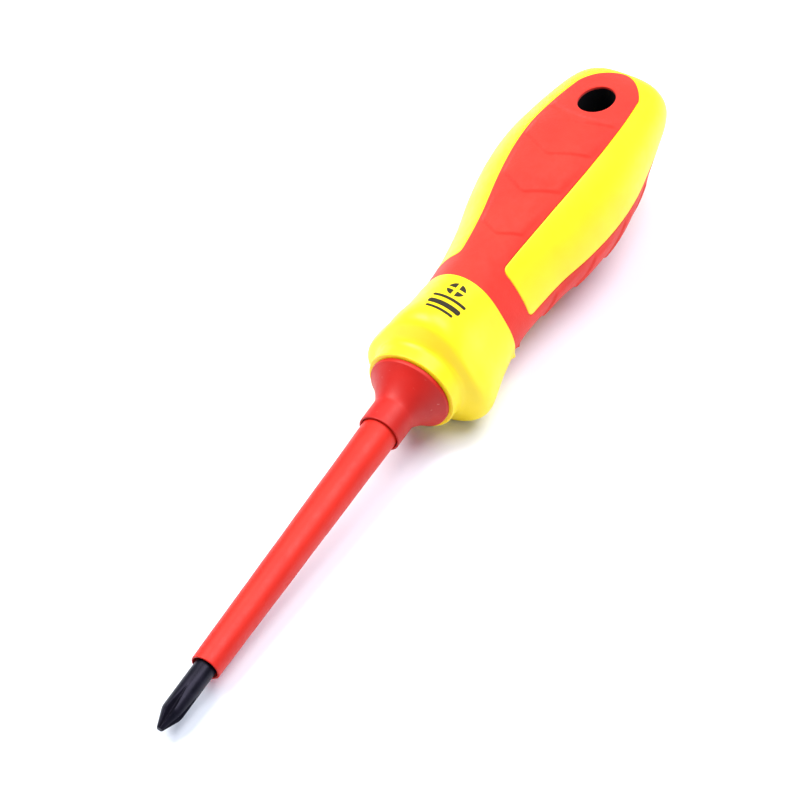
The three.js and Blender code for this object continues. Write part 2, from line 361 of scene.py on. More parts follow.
def cut(piece, tool, sharp_angle=35):
    """Takes the tool's shape out of the piece, and removes the tool."""
    step = piece.modifiers.new("cut", "BOOLEAN")
    step.operation = "DIFFERENCE"
    step.solver = "EXACT"
    step.object = tool
    bpy.context.view_layer.update()
    evaluated = piece.evaluated_get(bpy.context.evaluated_depsgraph_get())
    mesh = bpy.data.meshes.new_from_object(evaluated)
    piece.modifiers.clear()
    piece.data = mesh
    bpy.data.objects.remove(tool)
    shape = bmesh.new()
    shape.from_mesh(mesh)
    bmesh.ops.remove_doubles(shape, verts=shape.verts, dist=5e-7)
    shape.to_mesh(mesh)
    shape.free()
    shade(piece, sharp_angle)


def lumps(stations, angles, seed, size, harmonics=5):
    """A soft uneven field of about unit size over a turned surface."""
    random = np.random.default_rng(seed)
    field = np.zeros(np.shape(stations))
    for _ in range(harmonics * 3):
        turns = random.integers(0, harmonics)
        pitch = random.uniform(0.5, 1.6) * size
        phase, shift = random.uniform(0, 2 * math.pi, 2)
        field += np.cos(turns * angles + phase) * np.cos(2 * math.pi * stations / pitch + shift)
    return field / math.sqrt(harmonics * 3) * 1.4


def thick_skin(name, patches, sharp_angle=35):
    """A closed solid between outer and inner point grids, walled along their open edges."""
    outer = np.concatenate([skin.reshape(-1, 3) for skin, _ in patches])
    inner = np.concatenate([lining.reshape(-1, 3) for _, lining in patches])
    faces, first = [], 0
    for skin, _ in patches:
        faces += grid_faces(skin.shape[0], skin.shape[1], first=first)
        first += skin.shape[0] * skin.shape[1]
    keys = np.round(outer / MM, 4) + 0.0
    _, kept, where = np.unique(keys, axis=0, return_index=True, return_inverse=True)
    where = where.reshape(-1)
    outer, inner = outer[kept], inner[kept]
    count = len(outer)
    skins, walls, edges = [], [], set()
    for face in faces:
        corners = list(dict.fromkeys(where[list(face)].tolist()))
        if len(corners) < 3:
            continue
        skins.append(tuple(corners))
        skins.append(tuple(count + corner for corner in reversed(corners)))
        edges.update(zip(corners, corners[1:] + corners[:1]))
    for a, b in edges:
        if (b, a) not in edges:
            walls.append((b, a, count + a, count + b))
    return make_piece(name, np.concatenate([outer, inner]), skins + walls, sharp_angle)


# ---------------------------------------------------------------- blade

def make_blade():
    """Shank with a cone at the tip, four flutes that run out, and a winged tail."""
    tip = np.array(TIP_PROFILE)
    fine = np.arange(tip[1, 0], FLUTE_FADE_END + 0.7, 0.1)
    wing_front, wing_rear = TAIL_WINGS
    plain = np.concatenate([
        np.linspace(FLUTE_FADE_END + 1.5, wing_front - 0.02, 60),
        [wing_front, wing_rear],
        [wing_rear + 0.02, TAIL_END - TAIL_END_CHAMFER],
    ])
    stations = np.concatenate([[0, 0, 0.04], fine, plain, [TAIL_END, TAIL_END]])
    profile = np.interp(stations, tip[:, 0], tip[:, 1])
    profile[0] = profile[-1] = 0
    profile[-2] = SHANK_RADIUS - TAIL_END_CHAMFER
    angles = np.arange(AROUND) * 2 * math.pi / AROUND
    quarter = math.pi / 2
    off_flute = np.mod(angles - FLUTE_TURN + quarter / 2, quarter) - quarter / 2
    root = FLUTE_ROOT + (SHANK_RADIUS - FLUTE_ROOT) * stations / FLUTE_RUN_OUT
    across = np.sqrt(np.sin(off_flute) ** 2 + 0.045 ** 2)
    opening = np.maximum(np.cos(off_flute) - FLUTE_STEEPNESS * across, 1e-3)
    flute = np.minimum(root[:, None] / opening[None], 50)
    round_bar = np.repeat(profile[:, None], AROUND, axis=1)
    radii = -FLUTE_EDGE * np.logaddexp(-round_bar / FLUTE_EDGE, -flute / FLUTE_EDGE)
    radii = np.where(stations[:, None] > FLUTE_FADE_END, round_bar, radii)
    radii = np.where(round_bar == 0, 0, np.maximum(radii, 0.05))
    winged = (stations >= wing_front) & (stations <= wing_rear)
    slab = np.minimum(TAIL_WING_HALF_THICKNESS / np.maximum(np.abs(np.cos(angles)), 1e-6),
                      TAIL_WING_SPAN / np.maximum(np.abs(np.sin(angles)), 1e-6))
    radii = np.where(winged[:, None], np.maximum(radii, slab[None]), radii)
    points = place(stations[:, None], angles[None], radii)
    faces = grid_faces(len(stations), AROUND, wrap_columns=True)
    return make_piece("steel_blade", points, faces, 30)


# ---------------------------------------------------------------- sleeve and nose cone

def make_sleeve():
    """Moulded tube over the shank: softened lip, wider mouth, slight unevenness."""
    loop = rounded_path([
        (SLEEVE_REAR, SLEEVE_BORE, 0),
        (SLEEVE_FRONT + SLEEVE_MOUTH_DEPTH, SLEEVE_BORE, 0.1),
        (SLEEVE_FRONT + SLEEVE_MOUTH_DEPTH - 0.5, SLEEVE_MOUTH_BORE, 0.1),
        (SLEEVE_FRONT, SLEEVE_MOUTH_BORE, 0.12),
        (SLEEVE_FRONT, SLEEVE_FRONT_RADIUS - 0.02, 0.3),
        (SLEEVE_TAPER_END, SLEEVE_RADIUS, 3),
        (SLEEVE_REAR, SLEEVE_RADIUS, 0),
    ], spacing=0.8)

    def relief(stations, angles, radii):
        outside = smoothstep((radii - SLEEVE_MOUTH_BORE - 0.1) / 0.3)
        wave = lumps(stations, angles, seed=11, size=18, harmonics=3)
        lip = np.exp(-((stations - SLEEVE_FRONT) / 1.1) ** 2)
        ragged = lumps(stations, angles, seed=12, size=4, harmonics=7)
        return outside * (SLEEVE_UNEVENNESS * wave + 0.02 * lip * ragged)

    return turned("shaft_sleeve", loop, relief, around=128)


def make_nose_cone():
    """Collar, flared cone with a rounded lip, and the spigot that plugs into the guard."""
    control = np.array([
        (COLLAR_REAR, COLLAR_RADIUS),
        (COLLAR_REAR + 1.9, COLLAR_RADIUS + 0.25),
        (CONE_RIM_STATION - 2.4, CONE_RIM_RADIUS - 1.9),
        (CONE_RIM_STATION - 1.0, CONE_RIM_RADIUS - 0.1),
    ])
    t = np.linspace(0, 1, 41)[:, None]
    flare = ((1 - t) ** 3 * control[0] + 3 * t * (1 - t) ** 2 * control[1]
             + 3 * t * t * (1 - t) * control[2] + t ** 3 * control[3])
    front = rounded_path([
        (SPIGOT_REAR, CONE_BORE, 0),
        (COLLAR_FRONT + 0.5, CONE_BORE, 0.1),
        (COLLAR_FRONT, CONE_BORE + 0.18, 0.05),
        (COLLAR_FRONT, COLLAR_RADIUS, 0.24),
        (COLLAR_REAR, COLLAR_RADIUS, 0),
    ])
    rear = rounded_path([
        tuple(flare[-1]) + (0,),
        (CONE_RIM_STATION - 0.62, CONE_RIM_RADIUS, 0.3),
        (CONE_RIM_STATION, CONE_RIM_RADIUS, 0.22),
        (CONE_RIM_STATION, SPIGOT_RADIUS, 0.1),
        (SPIGOT_REAR, SPIGOT_RADIUS, 0.3),
        (SPIGOT_REAR, CONE_BORE, 0),
    ])
    return turned("nose_cone_skin", np.vstack([front, flare[1:-1], rear[:-1]]))


# ---------------------------------------------------------------- guard

def away_from(angles, line):
    """Distance round the neck, in millimetres, from a line along the handle."""
    return NECK_RADIUS * (np.mod(angles - line + math.pi, 2 * math.pi) - math.pi)


def nubs(stations, angles, nub):
    """Height of a small round bump on each side of the neck."""
    along = (stations - nub["station"]) / nub["length"]
    height = 0
    for side in (1, -1):
        across = away_from(angles, side * NUB_ANGLE) / nub["width"]
        height = height + nub["height"] * np.exp(-along ** 2 - across ** 2)
    return height


def guard_rise(stations, angles):
    """How far the guard stands proud of the handle's own profile, with its moulding nubs."""
    rise = 0.5 * GUARD_PROUD * smoothstep((stations - GUARD_RISE_START) / GUARD_RISE_LENGTH)
    return rise + nubs(stations, angles, GUARD_NUB)


def make_guard():
    """Nose ring, cove and three-lobed finger guard, hollow for the spigot and the core."""
    step = 0.2
    shoulder = [(104.9, 11.75), (105.5, 13.0)] + list(HANDLE_PROFILE[2:7])
    shoulder.append((GUARD_REAR, float(mean_radius(GUARD_REAR))))
    skin = catmull_rom([(103.4, NOSE_RING_RADIUS), (104.2, 11.05)] + shoulder, 0.1)
    skin = np.vstack([[(GUARD_FRONT + 0.6, NOSE_RING_RADIUS)], skin])
    skin = resampled(skin, step)
    skin = np.column_stack([bell_smoothed(column, 0.42 / step) for column in skin.T])
    front = rounded_path([
        (GUARD_FRONT, GUARD_BORE, 0),
        (GUARD_FRONT, NOSE_RING_RADIUS, 0.4),
        tuple(skin[0]) + (0,),
    ])
    rear = rounded_path([
        tuple(skin[-2]) + (0,),
        tuple(skin[-1]) + (0.22,),
        (GUARD_REAR, GUARD_BORE, 0),
    ])
    bore = np.linspace((GUARD_REAR, GUARD_BORE), (GUARD_FRONT, GUARD_BORE), 8)[1:-1]
    loop = np.vstack([front, skin[1:-2], rear, bore])

    def relief(stations, angles, radii):
        outward = smoothstep((radii - GUARD_BORE) / (NOSE_RING_RADIUS - GUARD_BORE))
        lobed = lobe_height(stations) * np.cos(LOBES * angles)
        return outward * (lobed + guard_rise(stations, angles))

    return turned("finger_guard", loop, relief, around=360)


# ---------------------------------------------------------------- grip and rear shell

def petal_rows(clearance):
    """Stations and half-widths along one side of a petal, from the band to the rounded end."""
    width = PETAL_EDGE[0][1] + clearance
    start = np.array([BAND_REAR + clearance, width + PETAL_CORNER])
    corner = np.array([BAND_REAR + clearance, width])
    first = np.array([PETAL_EDGE[0][0], width])
    t = np.linspace(0, 1, 15)[:, None]
    bend = (1 - t) ** 2 * start + 2 * t * (1 - t) * corner + t ** 2 * first
    side = resampled(catmull_rom([(s, w + clearance) for s, w in PETAL_EDGE]), 0.28)
    last = side[-1]
    top = PETAL_TOP + clearance
    t = np.linspace(0, 1, 36)[:, None]
    shoulder = last + np.array([PETAL_SHOULDER[0], -PETAL_SHOULDER[1]])
    crown = np.array([top - PETAL_CROWN[0], PETAL_CROWN[1]])
    end = ((1 - t) ** 3 * last + 3 * t * (1 - t) ** 2 * shoulder
           + 3 * t * t * (1 - t) * crown + t ** 3 * np.array([top, 0.0]))
    return np.vstack([bend[:-1], side[:-1], end])


def edge_angle(stations, half_widths):
    """The angle at which the handle's skin is that far sideways from a petal's middle."""
    angle = np.arcsin(half_widths / mean_radius(stations))
    for _ in range(6):
        angle = np.arcsin(np.clip(half_widths / handle_radius(stations, angle), 0, 1))
    return angle


def columns(half_length, inner_count):
    """Distances across a strip, from -half to +half, bunched at its two edges."""
    bunch = EDGE_BUNCH * min(1, half_length / 2.5)
    inside = np.linspace(-1, 1, inner_count)[1:-1] * (half_length - bunch[-1])
    return np.concatenate([bunch - half_length, inside, half_length - bunch[::-1]])


def seam_distance(stations, angles, rows):
    """Distance over the skin, in millimetres, from the line round the petals."""
    folded = np.abs(from_petal(angles))
    across = handle_radius(stations, folded) * folded
    edge = edge_angle(rows[:, 0], rows[:, 1])
    line = np.column_stack([handle_radius(rows[:, 0], edge) * edge, rows[:, 0]])
    line = np.vstack([[line[0, 0] + 20, line[0, 1]], line])
    start, along = line[:-1], np.diff(line, axis=0)
    points = np.column_stack([across.ravel(), stations.ravel()])
    best = np.full(len(points), 1e9)
    for a, d in zip(start, along):
        offset = points - a
        share = np.clip((offset @ d) / (d @ d), 0, 1)
        best = np.minimum(best, np.hypot(*(offset - share[:, None] * d).T))
    return best.reshape(stations.shape)


def softened(distance):
    """How far the skin drops towards a moulded edge."""
    inside = np.clip(LIP - distance, 0, LIP)
    return LIP - np.sqrt(LIP ** 2 - inside ** 2)


def chevrons(stations, angles, distance):
    """Raised arrowheads on each petal, steep on the side towards the tip."""
    across = handle_radius(stations, angles) * from_petal(angles)
    arm = np.sqrt(across ** 2 + CHEVRON_APEX ** 2) - CHEVRON_APEX
    height = np.zeros_like(stations)
    for apex in CHEVRON_STATIONS:
        behind = stations - apex - CHEVRON_SWEEP * arm
        ramp = smoothstep(behind / CHEVRON_RAMP + 0.5)
        decay = 1 - smoothstep((behind - CHEVRON_RAMP) / CHEVRON_DECAY)
        height += CHEVRON_HEIGHT * ramp * decay
    clear_of_edge = smoothstep((distance - CHEVRON_MARGIN) / CHEVRON_FADE)
    from_hole = np.hypot(across, stations - HOLE_STATION)
    clear_of_hole = smoothstep((from_hole - HOLE_HALF_LENGTH - HOLE_MARGIN) / HOLE_MARGIN_FADE)
    return height * clear_of_edge * clear_of_hole


def lining_points(stations, angles, butt_share):
    """The inner face of the skins: clear of the core, and domed at the butt."""
    start = np.minimum(stations, DOME_START)
    radius = np.minimum(mean_radius(start) - SKIN_THICKNESS, handle_radius(start, angles) - 0.9)
    turn = butt_share * math.pi / 2
    inner_station = np.where(butt_share > 0, DOME_START + DOME_DEPTH * np.sin(turn), stations)
    return place(inner_station, angles, radius * np.cos(turn))


def butt_path():
    """The skin's mean (station, radius) from the petals' end to the middle of the butt."""
    stations = np.arange(PETAL_TOP + SEAM, BUTT_SHOULDER[0], 0.28)
    side = np.column_stack([stations, mean_radius(stations)])
    dish = BUTT_STATION - BUTT_DISH_DEPTH
    end = rounded_path([
        BUTT_SHOULDER + (0,),
        (BUTT_STATION, BUTT_FLAT_RADIUS, 0.9),
        (BUTT_STATION, BUTT_DISH_RADIUS, 0.3),
        (dish, BUTT_DISH_RADIUS - BUTT_DISH_DEPTH, 0.3),
        (dish, 0.0, 0),
    ])
    return np.vstack([side, end])


def share_of_butt(path):
    """Where each (station, radius) lies on the way from the dome's start to the butt's middle."""
    lead = np.arange(DOME_START, PETAL_TOP, 0.1)
    whole = np.vstack([np.column_stack([lead, mean_radius(lead)]), butt_path()])
    run = np.concatenate([[0], np.cumsum(np.linalg.norm(np.diff(whole, axis=0), axis=1))])
    reach = whole[:, 0] - whole[:, 1]  # grows steadily along the path
    return np.interp(path[:, 0] - path[:, 1], reach, run / run[-1])


def make_grip():
    """Red band round the neck and three petals with raised chevrons."""
    rows = petal_rows(0.0)
    edge = edge_angle(rows[:, 0], rows[:, 1])
    share = share_of_butt(np.column_stack([rows[:, 0], mean_radius(rows[:, 0])]))
    share[rows[:, 0] <= DOME_START] = 0
    front = GUARD_REAR + SEAM
    between = np.arange(front + 1.1, BAND_REAR - 1, 0.45)
    band_stations = np.concatenate([front + EDGE_BUNCH, between, BAND_REAR - EDGE_BUNCH[::-1]])
    patches = []

    def add_patch(stations, angles, butt_share):
        distance = seam_distance(stations, angles, rows)
        distance = np.minimum(distance, stations - front)
        radius = handle_radius(stations, angles) - softened(distance)
        radius += chevrons(stations, angles, distance)
        radius -= 0.5 * GUARD_PROUD * (1 - smoothstep((stations - GUARD_REAR) / 4))
        radius += nubs(stations, angles, BAND_NUB)
        skin = place(stations, angles, radius)
        patches.append((skin, lining_points(stations, angles, butt_share)))

    for lobe in range(LOBES):
        middle = lobe * SECTOR
        radius = handle_radius(rows[:, 0], edge)
        angles = np.array([middle + columns(r * e, 40) / r for r, e in zip(radius, edge)])
        stations = np.repeat(rows[:, :1], angles.shape[1], axis=1)
        add_patch(stations, angles, np.repeat(share[:, None], angles.shape[1], axis=1))
        half_panel = SECTOR / 2 - edge[0]
        for centre, half, count in ((middle, edge[0], 40), (middle + SECTOR / 2, half_panel, 30)):
            across = centre + columns(radius[0] * half, count) / radius[0]
            angles = np.repeat(across[None], len(band_stations), axis=0)
            stations = np.repeat(band_stations[:, None], len(across), axis=1)
            add_patch(stations, angles, np.zeros_like(stations))
    return thick_skin("soft_grip", patches)


def make_rear_shell():
    """Yellow panels between the petals, joined over the butt."""
    rows = petal_rows(SEAM)
    edge = edge_angle(rows[:, 0], rows[:, 1])
    butt = butt_path()[1:]
    stations = np.concatenate([rows[:, 0], butt[:, 0]])
    means = np.concatenate([mean_radius(rows[:, 0]), butt[:, 1]])
    edge = np.concatenate([edge, np.zeros(len(butt))])
    share = share_of_butt(np.column_stack([stations, means]))
    share[stations <= DOME_START] = 0
    patches = []
    for lobe in range(LOBES):
        middle = (lobe + 0.5) * SECTOR
        lines = []
        for mean, edge_here in zip(means, edge):
            half = SECTOR / 2 - edge_here
            scale = max(mean, 1.0)
            lines.append(middle + columns(scale * half, 30) / scale)
        angles = np.array(lines)
        spread = np.repeat(stations[:, None], angles.shape[1], axis=1)
        radius = means[:, None] + lobe_height(spread) * np.cos(LOBES * angles)
        radius = np.where(means[:, None] > 0, radius, 0)
        distance = seam_distance(spread, angles, rows)
        radius = np.where(means[:, None] > 5, radius - softened(distance), radius)
        butt_share = np.repeat(share[:, None], angles.shape[1], axis=1)
        patches.append((place(spread, angles, radius), lining_points(spread, angles, butt_share)))
    return thick_skin("rear_shell_skin", patches)


# ---------------------------------------------------------------- hanging hole

def skin_height(across, stations, side):
    """Height of the handle's skin over the axis, above (side 1) or below (side -1) it."""
    angle = np.arcsin(np.clip(across / mean_radius(stations), -1, 1))
    for _ in range(8):
        radius = mean_radius(stations) + side * lobe_height(stations) * np.cos(LOBES * angle)
        angle = np.arcsin(np.clip(across / radius, -1, 1))
    return side * radius * np.cos(angle)


def oval(spread, turn):
    """Sideways distance and station on an oval that is so much larger than the hole."""
    across = (HOLE_HALF_WIDTH + spread) * np.sin(turn)
    return across, HOLE_STATION + (HOLE_HALF_LENGTH + spread) * np.cos(turn)


def oval_solid(name, ends):
    """A bar through the handle: its rings are (spread, height over the skin) at each end."""
    turn = np.arange(HOLE_AROUND) * 2 * math.pi / HOLE_AROUND
    rings = []
    for side, end in zip((1, -1), ends):
        middle_height = skin_height(np.array(0.0), np.array(HOLE_STATION), side)
        placed = []
        for spread, lift in end:
            if spread is None:
                across, stations = 0 * turn, HOLE_STATION + 0 * turn
                height = middle_height + side * lift
            else:
                across, stations = oval(spread, turn)
                height = skin_height(across, stations, side) + side * lift
            placed.append(place_beside(across, stations, height))
        rings += placed if side == 1 else placed[::-1]
    faces = grid_faces(len(rings), len(turn), wrap_columns=True)
    return make_piece(name, np.array(rings), faces)


def mouth_rings(mouth):
    """Rings of a cutter that flares to a softened mouth where it meets the skin."""
    rings = [(None, 3.0), (1.3 * mouth, 0.8), (0.96 * mouth, 0.008)]
    for angle in np.radians(np.arange(80, -1, -10)):
        rings.append((mouth * (1 - math.cos(angle)), -mouth * (1 - math.sin(angle))))
    return rings


def hole_cutter():
    """The hanging hole itself, with a soft mouth at the top and a smaller one below."""
    return oval_solid("hole_cutter", (mouth_rings(HOLE_MOUTH), mouth_rings(HOLE_REAR_MOUTH)))


def liner_pocket(growth):
    """The room that the liner takes up, or the liner's own outside when growth is nought."""
    end = [(None, -HOLE_RED_DEPTH + growth), (LINER_WALL + growth, -HOLE_RED_DEPTH + growth)]
    return oval_solid("liner_pocket", (end, end))


def make_hole_liner():
    """Near-black tube that lines the hanging hole from just under one skin to the other, as
    painted shade for the hole's dark inside.
    """
    liner = liner_pocket(0.0)
    liner.name = liner.data.name = "hole_shade_liner"
    cut(liner, hole_cutter())
    return liner


# ---------------------------------------------------------------- handle core

def make_core():
    """Dark inner body, seen down the hanging hole."""
    outer = np.arange(GUARD_REAR + 0.4, CORE_REAR - 4, 1.5)
    rear = np.column_stack([outer, mean_radius(outer) - CORE_INSET])
    bore_end = TAIL_END + CORE_CLEARANCE
    step = SLEEVE_REAR + CORE_CLEARANCE
    front = SPIGOT_REAR + CORE_CLEARANCE
    loop = np.vstack([
        [(bore_end, 0), (bore_end, 2.6), (step, 2.6), (step, 4.45), (front, 4.45)],
        [(front, SPIGOT_RADIUS), (GUARD_REAR + 0.35, SPIGOT_RADIUS)],
        rear,
        [(CORE_REAR, CORE_END_RADIUS), (CORE_REAR, 0)],
    ])
    core = turned("inner_core", loop, around=96)
    wing_front, wing_rear = TAIL_WINGS
    corners = []
    thickness = TAIL_WING_HALF_THICKNESS + CORE_CLEARANCE
    span = TAIL_WING_SPAN + CORE_CLEARANCE
    for station in (wing_front - CORE_CLEARANCE, wing_rear + CORE_CLEARANCE):
        for height in (-thickness, thickness):
            for across in (-span, span):
                corners.append(place_beside(across, station, height))
    sides = [(0, 1, 3, 2), (4, 6, 7, 5), (0, 4, 5, 1), (2, 3, 7, 6), (0, 2, 6, 4), (1, 5, 7, 3)]
    cut(core, make_piece("wing_slot", np.array(corners), sides))
    return core


# ---------------------------------------------------------------- printed mark

def ink_patch(across, stations, angle):
    """Outer and inner faces of a thin film lying on the guard."""
    radius = handle_radius(stations, 0)
    angles = math.radians(angle) + across / radius
    base = handle_radius(stations, angles) + guard_rise(stations, angles) + INK_LIFT
    return place(stations, angles, base + INK_THICKNESS), place(stations, angles, base)


def make_disc_mark():
    """Four quarters of a disc, left apart by a plain cross."""
    radius, cross = DISC["radius"], DISC["cross"]
    reach = math.asin(cross / radius)
    patches = []
    for quarter in range(4):
        turn = np.linspace(reach, math.pi / 2 - reach, 13)[None] + quarter * math.pi / 2
        corner_angle = math.pi / 4 + quarter * math.pi / 2
        corner = math.sqrt(2) * cross * np.array([math.cos(corner_angle), math.sin(corner_angle)])
        share = np.linspace(0, 1, 7)[:, None]
        across = corner[0] + share * (radius * np.cos(turn) - corner[0])
        along = corner[1] + share * (radius * np.sin(turn) - corner[1])
        patches.append(ink_patch(across, DISC["station"] + along, DISC["angle"]))
    return thick_skin("printed_disc", patches)


def make_bar_mark(index, bar):
    """A plain bar with rounded ends, in place of a line of print."""
    u = np.linspace(-1, 1, 41)[:, None]
    v = np.linspace(-1, 1, 11)[None]
    rounding = 0.3 * bar["width"]
    half = bar["length"] / 2 - rounding * (1 - np.sqrt(1 - v ** 2 + 1e-9))
    across = u * half
    along = v * bar["width"] / 2 + 0 * u
    patch = ink_patch(across, bar["station"] + along, bar["angle"])
    return thick_skin(f"printed_bar_{index}", [patch])


# ---------------------------------------------------------------- materials

class Finish:
    """A procedural material: one Principled shader and the nodes that feed it."""

    def __init__(self, name):
        self.material = bpy.data.materials.new(name)
        self.material.use_nodes = True
        self.tree = self.material.node_tree
        self.tree.nodes.clear()
        self.shader = self.tree.nodes.new("ShaderNodeBsdfPrincipled")
        output = self.tree.nodes.new("ShaderNodeOutputMaterial")
        self.tree.links.new(self.shader.outputs["BSDF"], output.inputs["Surface"])
        self.place = self.tree.nodes.new("ShaderNodeTexCoord").outputs["Object"]
        self.normal = None

    def set(self, **values):
        for name, value in values.items():
            self.shader.inputs[name.replace("_", " ")].default_value = value

    def noise(self, scale, detail=3.0, roughness=0.55, stretch=(1, 1, 1), shift=0.0):
        """Noise of so many grains to the metre, stretched along the frame's axes."""
        mapping = self.tree.nodes.new("ShaderNodeMapping")
        mapping.inputs["Scale"].default_value = stretch
        mapping.inputs["Location"].default_value = (shift, shift, shift)
        self.tree.links.new(self.place, mapping.inputs["Vector"])
        noise = self.tree.nodes.new("ShaderNodeTexNoise")
        noise.inputs["Scale"].default_value = scale
        noise.inputs["Detail"].default_value = detail
        noise.inputs["Roughness"].default_value = roughness
        self.tree.links.new(mapping.outputs["Vector"], noise.inputs["Vector"])
        return noise.outputs["Fac"]

    def cells(self, scale):
        """Small rounded grains, as left by a spark-eroded mould."""
        voronoi = self.tree.nodes.new("ShaderNodeTexVoronoi")
        voronoi.inputs["Scale"].default_value = scale
        self.tree.links.new(self.place, voronoi.inputs["Vector"])
        return voronoi.outputs["Distance"]

    def ranged(self, value, low, high, to_low, to_high):
        node = self.tree.nodes.new("ShaderNodeMapRange")
        for name, number in (("From Min", low), ("From Max", high),
                             ("To Min", to_low), ("To Max", to_high)):
            node.inputs[name].default_value = number
        self.tree.links.new(value, node.inputs["Value"])
        return node.outputs["Result"]

    def blend(self, share, colour_a, colour_b):
        """A colour between two, where each is a colour or another node's output."""
        node = self.tree.nodes.new("ShaderNodeMix")
        node.data_type = "RGBA"
        for name, colour in (("A", colour_a), ("B", colour_b)):
            socket = [s for s in node.inputs if s.name == name and s.type == "RGBA"][0]
            if isinstance(colour, tuple):
                socket.default_value = colour + (1.0,)
            else:
                self.tree.links.new(colour, socket)
        self.tree.links.new(share, node.inputs["Factor"])
        return [s for s in node.outputs if s.type == "RGBA"][0]

    def feed(self, name, output):
        self.tree.links.new(output, self.shader.inputs[name])

    def bump(self, height, depth, strength=1.0):
        """Adds relief of the given depth in metres to what is already there."""
        node = self.tree.nodes.new("ShaderNodeBump")
        node.inputs["Distance"].default_value = depth
        node.inputs["Strength"].default_value = strength
        self.tree.links.new(height, node.inputs["Height"])
        if self.normal is not None:
            self.tree.links.new(self.normal, node.inputs["Normal"])
        self.normal = node.outputs["Normal"]
        self.feed("Normal", self.normal)


def moulded(name, colour, shade_colour, roughness, grain, grain_depth, soft=0.0):
    """A moulded plastic: cloudy colour, uneven gloss and a fine surface grain."""
    finish = Finish(name)
    cloud = finish.noise(90, detail=2.5)
    speckle = finish.noise(2600, detail=2.0, shift=3.1)
    clouded = finish.blend(finish.ranged(cloud, 0.35, 0.65, 0.0, 1.0), shade_colour, colour)
    flecked = finish.blend(finish.ranged(speckle, 0.55, 0.8, 0.0, 0.35), clouded, shade_colour)
    finish.feed("Base Color", flecked)
    gloss = finish.noise(420, detail=3.0, shift=1.7)
    finish.feed("Roughness", finish.ranged(gloss, 0.3, 0.7, roughness - 0.05, roughness + 0.06))
    finish.bump(finish.noise(160, detail=2.0, shift=5.0), 0.00006)
    finish.bump(finish.noise(grain, detail=3.0, shift=7.0), grain_depth)
    if soft:
        finish.set(Subsurface_Weight=soft, Subsurface_Scale=0.0012)
        finish.shader.inputs["Subsurface Radius"].default_value = (1.0, 0.5, 0.2)
    return finish


def sleeve_finish():
    """Satin red plastic with faint marks along the tube."""
    finish = moulded("red_polypropylene", (0.66, 0.017, 0.005), (0.60, 0.013, 0.004),
                     0.48, 2400, 0.000012, soft=0.06)
    finish.set(Specular_IOR_Level=0.3)
    drawn = finish.noise(700, detail=2.0, stretch=(0.06, 1, 1), shift=2.0)
    finish.bump(drawn, 0.000012)
    return finish.material


def cone_finish():
    """Red plastic painted darker than the sleeve, as painted shade, with a few pale scuffs."""
    # Painted shade: the cone's red is darker all over, standing in for the shade on the flare
    # that faces away from the light.
    finish = moulded("red_cone_plastic_with_painted_shade", (0.54, 0.008, 0.001), (0.47, 0.006, 0.001),
                     0.5, 2000, 0.000016, soft=0.04)
    finish.set(Specular_IOR_Level=0.35)
    scuff = finish.noise(900, detail=4.0, stretch=(1, 0.25, 1), shift=4.0)
    patch = finish.noise(70, detail=1.0, shift=9.0)
    marks = finish.tree.nodes.new("ShaderNodeMath")
    marks.operation = "MULTIPLY"
    finish.tree.links.new(finish.ranged(scuff, 0.66, 0.72, 0.0, 1.0), marks.inputs[0])
    finish.tree.links.new(finish.ranged(patch, 0.5, 0.62, 0.0, 0.35), marks.inputs[1])
    base = finish.shader.inputs["Base Color"].links[0].from_socket
    finish.feed("Base Color", finish.blend(marks.outputs[0], base, (0.75, 0.3, 0.25)))
    return finish.material


def grip_finish():
    """Soft rubber-like grip: matte, with a fine grain and a faint sheen."""
    finish = moulded("red_elastomer", (0.76, 0.027, 0.012), (0.68, 0.021, 0.009),
                     0.72, 1500, 0.00003)
    finish.set(Specular_IOR_Level=0.35, Sheen_Weight=0.08, Sheen_Roughness=0.5)
    finish.bump(finish.cells(2300), 0.00002)
    return finish.material


def yellow_finish():
    """Smooth satin plastic of the guard and the rear shell."""
    finish = moulded("yellow_polypropylene", (0.97, 0.74, 0.007), (0.94, 0.69, 0.005),
                     0.42, 1800, 0.000014, soft=0.12)
    finish.set(Specular_IOR_Level=0.4)
    return finish.material


def core_and_hole_shade_finish():
    """Dark plastic of the core, and painted shade on the hole's liner."""
    finish = moulded("dark_core_plastic", (0.006, 0.006, 0.007), (0.004, 0.004, 0.005),
                     0.6, 1500, 0.00002)
    finish.set(Specular_IOR_Level=0.2)
    return finish.material


def steel_finish():
    """Black-oxide steel: near black, satin, with fine marks along the shank."""
    finish = Finish("black_oxide_steel")
    cloud = finish.noise(500, detail=3.0)
    finish.feed("Base Color", finish.blend(finish.ranged(cloud, 0.35, 0.7, 0.0, 1.0),
                                           (0.002, 0.002, 0.004), (0.006, 0.005, 0.010)))
    gloss = finish.noise(1500, detail=3.0, stretch=(0.08, 1, 1), shift=2.0)
    finish.feed("Roughness", finish.ranged(gloss, 0.3, 0.7, 0.3, 0.44))
    finish.set(Metallic=0.0, Specular_IOR_Level=0.2, Specular_Tint=(0.75, 0.7, 1.0, 1.0))
    finish.bump(finish.noise(1400, detail=3.0, stretch=(0.06, 1, 1), shift=5.0), 0.000012)
    finish.bump(finish.noise(2600, detail=2.0, shift=8.0), 0.00001)
    return finish.material


def ink_finish():
    """Thin black print with slightly uneven cover."""
    finish = Finish("black_print")
    cover = finish.noise(3200, detail=3.0)
    finish.feed("Base Color", finish.blend(finish.ranged(cover, 0.6, 0.85, 0.0, 0.5),
                                           (0.020, 0.016, 0.006), (0.25, 0.21, 0.02)))
    finish.set(Roughness=0.6, Specular_IOR_Level=0.3)
    finish.bump(finish.noise(2500, detail=2.0, shift=3.0), 0.00001)
    return finish.material


